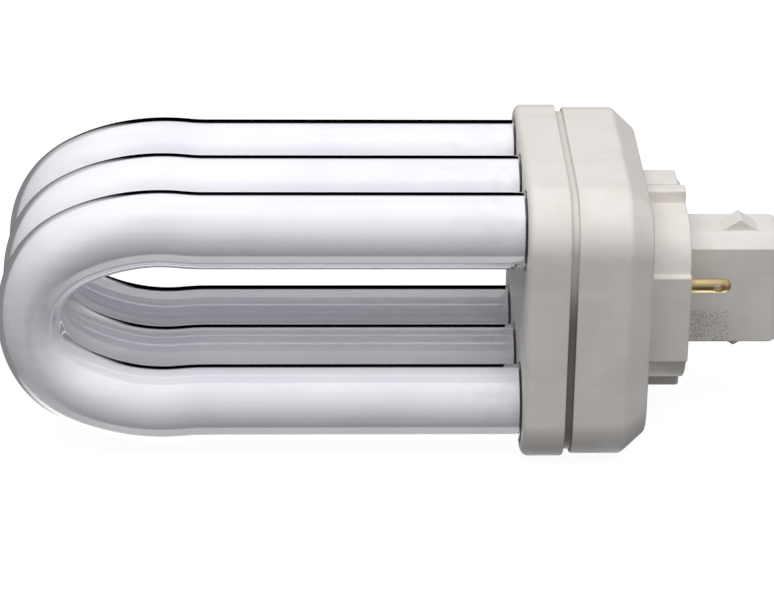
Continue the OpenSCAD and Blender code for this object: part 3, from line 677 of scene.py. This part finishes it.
def makeTubeHolder(p, tubes):
    bm = bmesh.new()
    outline = roundRect(p["halfW"], p["halfH"], p["corner"])
    stations = []
    for i in range(7):  # soft front rim
        a = math.pi / 2 * i / 6
        stations.append((p["front"] + p["rim"] * (1 - math.sin(a)), insetOutline(outline, p["rim"] * (1 - math.cos(a)))))
    stations = stations[::-1]
    stations = [(p["front"] + p["rim"] * (1 - math.cos(math.pi / 2 * i / 6)), insetOutline(outline, p["rim"] * (1 - math.sin(math.pi / 2 * i / 6)))) for i in range(7)]
    for i in range(4):  # small round at the groove
        a = math.pi / 2 * i / 3
        stations.append((p["back"] - 0.3 * (1 - math.sin(a)), insetOutline(outline, 0.3 * (1 - math.cos(a)))))
    stations.append((p["back"], insetOutline(outline, p["skirt"])))
    stations.append((p["front"] + p["plate"], insetOutline(outline, p["skirt"])))
    rings = addLoft(bm, stations, False, False)
    holeR = tubes["diameter"] / 2 + p["holeGap"]
    fronts, backs = [], []
    for row in (-tubes["pitch"], 0.0, tubes["pitch"]):
        for side in (-1, 1):
            z = side * tubes["legSpread"] / 2
            loops = [[bm.verts.new(Vector(c) * mm) for c in ringPoints(x, row, z, r, 64)]
                     for x, r in ((p["front"], holeR + 0.3), (p["front"] + 0.1, holeR + 0.1), (p["front"] + 0.35, holeR), (p["front"] + p["plate"], holeR))]
            for a, b in zip(loops, loops[1:]):
                for k in range(64):
                    bm.faces.new((a[k], a[(k + 1) % 64], b[(k + 1) % 64], b[k]))
            fronts.append(loops[0])
            backs.append(loops[-1])
    fillWithHoles(bm, rings[0], fronts)
    fillWithHoles(bm, rings[-1], backs)
    return plasticPiece("tubeHolder", bm, ("tube_holder",))


makeTubeHolder(baseSizes, tubeSizes)
print("tube holder made")


# ---------- cap ----------
capSizes = {
    "step": 0.3, "start": -19.3, "bevelStart": -11.0, "bevelEnd": -7.1, "insetW": 2.4, "insetH": 3.7,
    "tongueStart": -22.9, "tongueGap": 0.1, "tongueWall": 0.8, "floor": -8.6,
    "shoulderW": 14.0, "shoulderH": 14.4, "shoulderR": 8.0, "padRise": 1.3, "padTop": 7.2, "padBottom": 8.1,
    "keyRise": 2.2, "keyLong": 7.0, "keyShort": 1.7, "keyLand": 2.4, "keySetback": 1.0,
    "postW": 5.0, "postH": 9.5, "postEnd": 16.6, "postChamfer": 2.0, "postLead": 1.6, "postInset": 0.8,
    "nubX": 9.2, "nubLength": 6.2, "nubW": 4.2, "nubRise": 2.0,
}


def capBody(bm, p, base):
    halfW, halfH, r = base["halfW"] - p["step"], base["halfH"] - p["step"], base["corner"]
    inner = base["skirt"] + p["tongueGap"]
    tongue = lambda extra: roundRect(base["halfW"] - inner - extra, base["halfH"] - inner - extra, r - inner - extra)
    share = (p["floor"] - p["bevelStart"]) / (p["bevelEnd"] - p["bevelStart"])
    hollow = (base["halfW"] - inner - p["tongueWall"], base["halfH"] - inner - p["tongueWall"], r - inner - p["tongueWall"])
    deep = roundRect(hollow[0] - p["insetW"] * share, hollow[1] - p["insetH"] * share, hollow[2])

    def bevelRing(x):
        t = (x - p["bevelStart"]) / (p["bevelEnd"] - p["bevelStart"])
        return roundRect(halfW - p["insetW"] * t, halfH - p["insetH"] * t, r - p["insetW"] * t)

    wall = roundRect(halfW, halfH, r)
    stations = [(p["floor"], deep), (p["bevelStart"], deep), (p["bevelStart"], roundRect(*hollow)),
                (p["tongueStart"], roundRect(*hollow)), (p["tongueStart"], tongue(0)), (p["start"], tongue(0))]
    stations += [(p["start"] + 0.35 * (1 - math.cos(a)), insetOutline(wall, 0.35 * (1 - math.sin(a)))) for a in np.linspace(0, math.pi / 2, 5)]
    soft = 0.5  # the wall turns into the bevel over a short soft edge
    for t in np.linspace(0, 1, 5):
        x = p["bevelStart"] - soft + 2 * soft * t
        ring = bevelRing(p["bevelStart"] + soft * t * t)
        stations.append((x, ring))
    last = bevelRing(p["bevelEnd"] - 0.45)
    edge = bevelRing(p["bevelEnd"])
    stations.append((p["bevelEnd"] - 0.45, last))
    for t in (0.35, 0.7, 1.0):
        ring = [((1 - t) * a[0] + t * b[0], (1 - t) * a[1] + t * b[1]) for a, b in zip(last, edge)]
        stations.append((p["bevelEnd"] - 0.45 * (1 - t) ** 1.4, insetOutline(ring, 0.28 * t * t)))
    addLoft(bm, stations)


def shoulderOutline(p):
    w, h, r = p["shoulderW"], p["shoulderH"], p["shoulderR"]
    side = []
    a0 = math.asin((p["padTop"] - (h - r)) / r)
    for a in np.linspace(math.pi / 2, math.pi - a0, 11):
        side.append((-(w - r) + r * math.cos(a), h - r + r * math.sin(a), 0.0))
    side += [(-w - p["padRise"], p["padTop"], 0.35), (-w - p["padRise"], -p["padBottom"], 0.35)]
    b0 = math.asin((p["padBottom"] - (h - r)) / r)
    for a in np.linspace(math.pi + b0, 1.5 * math.pi, 11):
        side.append((-(w - r) + r * math.cos(a), -(h - r) + r * math.sin(a), 0.0))
    return side + [(-y, -z, q) for y, z, q in side]


def halfTurned(points):
    return [(-q[0], -q[1], *q[2:]) for q in points]


def makeCap(p, base):
    bm = bmesh.new()
    capBody(bm, p, base)
    addLoft(bm, roundedEnds(p["bevelEnd"] - 0.8, 0.0, shoulderOutline(p), 0.0, 0.35))
    top = p["shoulderH"] + p["keyRise"]
    land = [(-p["keyShort"], 6.0, 0.0), (p["keyLand"] - p["keyShort"], 6.0, 0.0),
            (p["keyLand"] - p["keyShort"], top, 0.18), (-p["keyShort"], top, 0.45)]
    rest = [(p["keyLand"] - p["keyShort"] + 0.4, 6.0, 0.0), (p["keyLong"], 6.0, 0.0),
            (p["keyLong"], top, 0.45), (p["keyLand"] - p["keyShort"] + 0.4, top, 0.18)]
    core = [(-p["keyShort"] + 0.5, 6.0), (p["keyLong"] - 0.5, 6.0), (p["keyLong"] - 0.5, top - 0.4), (-p["keyShort"] + 0.5, top - 0.4)]
    for turned in (lambda o: o, halfTurned):
        addLoft(bm, roundedEnds(p["bevelEnd"] - 0.8, -0.02, turned(land), 0.0, 0.3))
        back = 0.25 if turned is halfTurned else p["keySetback"]
        addLoft(bm, roundedEnds(p["bevelEnd"] - 0.8, -back, turned(rest), 0.0, 0.4))
        addLoft(bm, [(p["bevelEnd"] - 0.8, turned(core)), (-back - 0.3, turned(core))])
    w, h, c = p["postW"], p["postH"], p["postChamfer"]
    post = [(-w + c, h, 0.35), (-w, h - c, 0.35), (-w, -h, 0.35), (w - c, -h, 0.35), (w, -h + c, 0.35), (w, h, 0.35)]
    start = p["postEnd"] - p["postLead"]
    addLoft(bm, [(x, cornered(post, d)) for x, d in (
        (-3.0, 0.0), (start - 0.5, 0.0), (start, 0.08), (start + 0.4, 0.24), (p["postEnd"] - 0.35, p["postInset"] - 0.1),
        (p["postEnd"] - 0.1, p["postInset"] + 0.08), (p["postEnd"], p["postInset"] + 0.35))])
    for turn in (0, 1):  # latch nubs, low roofs on the two narrow sides
        roof = [(-p["nubLength"] / 2, -0.6, 0.0), (-p["nubLength"] / 2, 0.0, 0.0), (0.0, p["nubRise"], 0.3),
                (p["nubLength"] / 2, 0.0, 0.0), (p["nubLength"] / 2, -0.6, 0.0)]
        stations = roundedEnds(-p["nubW"] / 2, p["nubW"] / 2, roof, 0.15, 0.15, 2)
        rings = []
        for y, outline in stations:
            ring = []
            for x, z in outline:
                z = z + p["postH"]
                ring.append(bm.verts.new(((p["nubX"] + x) * mm, (-y if turn else y) * mm, (-z if turn else z) * mm)))
            rings.append(ring)
        for a, b in zip(rings, rings[1:]):
            for k in range(len(a)):
                bm.faces.new((a[k], a[(k + 1) % len(a)], b[(k + 1) % len(a)], b[k]))
        bm.faces.new(rings[0])
        bm.faces.new(rings[-1])
    return plasticPiece("keyedCap", bm, ("cap",))


makeCap(capSizes, baseSizes)
print("cap made")


# ---------- contact pins ----------
pinSizes = {"span": 23.0, "height": 4.0, "radius": 1.175, "start": -9.4, "length": 6.9, "bore": 0.5, "holeX": 4.8, "holeR": 0.7}


def makePins(p):
    for label, node, y in (("near", "near_pin", -p["span"] / 2), ("far", "far_pin", p["span"] / 2)):
        bm = bmesh.new()
        r = p["radius"]
        dome = [(p["length"] - r + r * math.sin(a), r * math.cos(a)) for a in np.linspace(0, math.pi / 2, 12)[:-1]]
        profile = [(p["start"], r - 0.1), (p["start"] + 0.1, r)] + [(x, r) for x in np.linspace(-6, p["length"] - r - 0.4, 8)] + dome
        profile += [(p["length"], 0.0), (p["holeX"] + 0.2, 0.0), (p["holeX"], p["bore"]), (p["start"], p["bore"])]
        latheAlongX(bm, profile, y, p["height"], 48)
        bmesh.ops.recalc_face_normals(bm, faces=bm.faces)
        mesh = bpy.data.meshes.new(label + "Pin")
        bm.to_mesh(mesh)
        bm.free()
        body = bpy.data.objects.new(label + "PinHelper", mesh)
        scene.collection.objects.link(body)
        cut = bmesh.new()
        bmesh.ops.create_cone(cut, cap_ends=True, segments=40, radius1=p["holeR"] * mm, radius2=p["holeR"] * mm, depth=6 * mm,
                              matrix=Matrix.Translation((p["holeX"] * mm, y * mm, p["height"] * mm)) @ Matrix.Rotation(math.pi / 2, 4, "X"))
        cutMesh = bpy.data.meshes.new("pinHole")
        cut.to_mesh(cutMesh)
        cut.free()
        cutter = bpy.data.objects.new("pinHole", cutMesh)
        scene.collection.objects.link(cutter)
        hole = body.modifiers.new("hole", "BOOLEAN")
        hole.operation, hole.object, hole.solver = "DIFFERENCE", cutter, "EXACT"
        edge = body.modifiers.new("edge", "BEVEL")
        edge.width, edge.segments, edge.limit_method, edge.angle_limit = 0.06 * mm, 2, "ANGLE", math.radians(40)
        mesh = bakedCopy(body, label + "ContactPin")
        bpy.data.objects.remove(cutter)
        finishMesh(label + "ContactPin", mesh, pinBrass, (node,), 35.0)


makePins(pinSizes)
print("pins made")


# ---------- carried-over solids ----------
nodeFinish = {
    "front_bridge": clearGlass, "rear_bridge": clearGlass, "front_stem": clearGlass, "rear_stem": clearGlass,
    "exhaust_stub": clearGlass, "starter_bulb": clearGlass, "front_lead_wires": leadWire, "rear_lead_wires": leadWire,
    "starter_strip": leadWire, "starter_post": leadWire, "front_filament": tungsten, "rear_filament": tungsten,
    "tube_cement": cementWhite, "capacitor": capacitorShell, "near_pin_wire": redInsulation,
    "far_pin_wire": redInsulation, "near_starter_wire": blueInsulation, "far_starter_wire": blueInsulation,
}
for name, material in nodeFinish.items():
    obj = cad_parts[name]
    if not obj.material_slots:
        obj.data.materials.append(material)
    for s in obj.material_slots:
        s.material = material
print("inner pieces finished")


# ---------- floor, world and lamps ----------
studio = {
    "floorZ": -0.02385, "floorGlow": 0.95, "floorAlbedo": 0.12, "ambient": 0.43, "glossGain": 1.5, "keyEnergy": 5.0, "keyElevation": 68.0,
    "keyDistance": 0.75, "keySize": (0.9, 0.45),
}


def makeFloor(p):
    mesh = bpy.data.meshes.new("paleFloor")
    mesh.from_pydata([(-6, -6, p["floorZ"]), (6, -6, p["floorZ"]), (6, 6, p["floorZ"]), (-6, 6, p["floorZ"])], [], [(0, 1, 2, 3)])
    floor = bpy.data.objects.new("paleFloor", mesh)
    scene.collection.objects.link(floor)
    m = bpy.data.materials.new("paleFloor")
    m.use_nodes = True
    tree = m.node_tree
    tree.nodes.clear()
    out = addNode(tree, "ShaderNodeOutputMaterial")
    cloth = addNode(tree, "ShaderNodeBsdfDiffuse")
    cloth.inputs["Color"].default_value = (p["floorAlbedo"],) * 3 + (1,)
    glow = addNode(tree, "ShaderNodeEmission")
    path = addNode(tree, "ShaderNodeLightPath")
    seen = mathNode(tree, "MAXIMUM", path.outputs["Is Camera Ray"], path.outputs["Is Transmission Ray"])
    tree.links.new(mathNode(tree, "MULTIPLY", seen, p["floorGlow"]), glow.inputs["Strength"])
    both = addNode(tree, "ShaderNodeAddShader")
    side, clear, under = (addNode(tree, k) for k in ("ShaderNodeNewGeometry", "ShaderNodeBsdfTransparent", "ShaderNodeMixShader"))
    join(tree, [(cloth.outputs[0], both.inputs[0]), (glow.outputs[0], both.inputs[1]), (both.outputs[0], under.inputs[1]),
                (side.outputs["Backfacing"], under.inputs[0]), (clear.outputs[0], under.inputs[2]), (under.outputs[0], out.inputs["Surface"])])
    mesh.materials.append(m)
    floor.visible_glossy = False  # gloss shows the studio that the world gives
    return floor


def ramp(tree, value, stops):
    n = addNode(tree, "ShaderNodeValToRGB")
    n.color_ramp.interpolation = "LINEAR"
    while len(n.color_ramp.elements) < len(stops):
        n.color_ramp.elements.new(0.5)
    for element, (at, level) in zip(n.color_ramp.elements, stops):
        element.position = at
        element.color = (level, level, level, 1)
    tree.links.new(value, n.inputs[0])
    return n.outputs[0]


def rampPlace(elevation):
    return (math.sin(math.radians(elevation)) + 1) / 2


def makeWorld(p):
    world = bpy.data.worlds.new("studioWorld")
    scene.world = world
    world.use_nodes = True
    tree = world.node_tree
    tree.nodes.clear()
    out = addNode(tree, "ShaderNodeOutputWorld")
    back = addNode(tree, "ShaderNodeBackground")
    path = addNode(tree, "ShaderNodeLightPath")
    coords = addNode(tree, "ShaderNodeTexCoord")
    way = addNode(tree, "ShaderNodeSeparateXYZ")
    tree.links.new(coords.outputs["Generated"], way.inputs[0])
    height = mathNode(tree, "MULTIPLY_ADD", way.outputs[2], 0.5, 0.5)
    # what gloss sees: a bright box overhead, a bright table, dark flags before and behind
    front = ramp(tree, height, [(0.0, 1.0), (rampPlace(-62), 1.0), (rampPlace(-56), 0.04), (rampPlace(-8), 0.04), (rampPlace(20), 0.22), (rampPlace(52), 0.34), (rampPlace(72), 0.62), (1.0, 0.62)])
    behind = ramp(tree, height, [(0.0, 1.0), (rampPlace(-30), 1.0), (rampPlace(-26), 0.0), (rampPlace(28), 0.0), (rampPlace(34), 0.44), (1.0, 0.62)])
    side = ramp(tree, height, [(0.0, 0.8), (rampPlace(-62), 0.7), (rampPlace(-44), 0.16), (rampPlace(0), 0.16), (rampPlace(20), 0.40), (rampPlace(60), 0.6), (1.0, 0.62)])
    lengthways = smoothStep(tree, mathNode(tree, "ABSOLUTE", way.outputs[0]), 0.14, 0.34)
    toBack = smoothStep(tree, way.outputs[1], -0.05, 0.05)
    seen = mixColour(tree, lengthways, mixColour(tree, toBack, front, behind), side)
    seen = mixColour(tree, 1.0, seen, (p["glossGain"],) * 3, "MULTIPLY")
    light = mixColour(tree, path.outputs["Is Glossy Ray"], (p["ambient"], p["ambient"], p["ambient"] * 1.05), seen)
    clear = mathNode(tree, "MAXIMUM", path.outputs["Is Camera Ray"], path.outputs["Is Transmission Ray"])
    tree.links.new(mixColour(tree, clear, light, (1.0, 1.0, 1.0)), back.inputs["Color"])
    tree.links.new(back.outputs[0], out.inputs["Surface"])


def addLamp(name, place, aim, size, energy, colour=(1, 1, 1), glossy=False):
    data = bpy.data.lights.new(name, "AREA")
    data.shape, data.size, data.size_y, data.energy, data.color = "RECTANGLE", size[0], size[1], energy, colour
    lamp = bpy.data.objects.new(name, data)
    scene.collection.objects.link(lamp)
    way = Vector(aim) - Vector(place)
    lamp.location = place
    lamp.rotation_mode = "QUATERNION"
    lamp.rotation_quaternion = way.to_track_quat("-Z", "Y")
    lamp.visible_glossy = glossy
    lamp.visible_camera = False
    return lamp


def makeLamps(p):
    el = math.radians(p["keyElevation"])
    mid = Vector((-0.05, 0, 0))
    key = mid + Vector((-0.05, -math.cos(el), math.sin(el))) * p["keyDistance"]
    addLamp("overheadBox", key, mid, p["keySize"], p["keyEnergy"])


makeFloor(studio)
makeWorld(studio)
makeLamps(studio)
print("studio made")
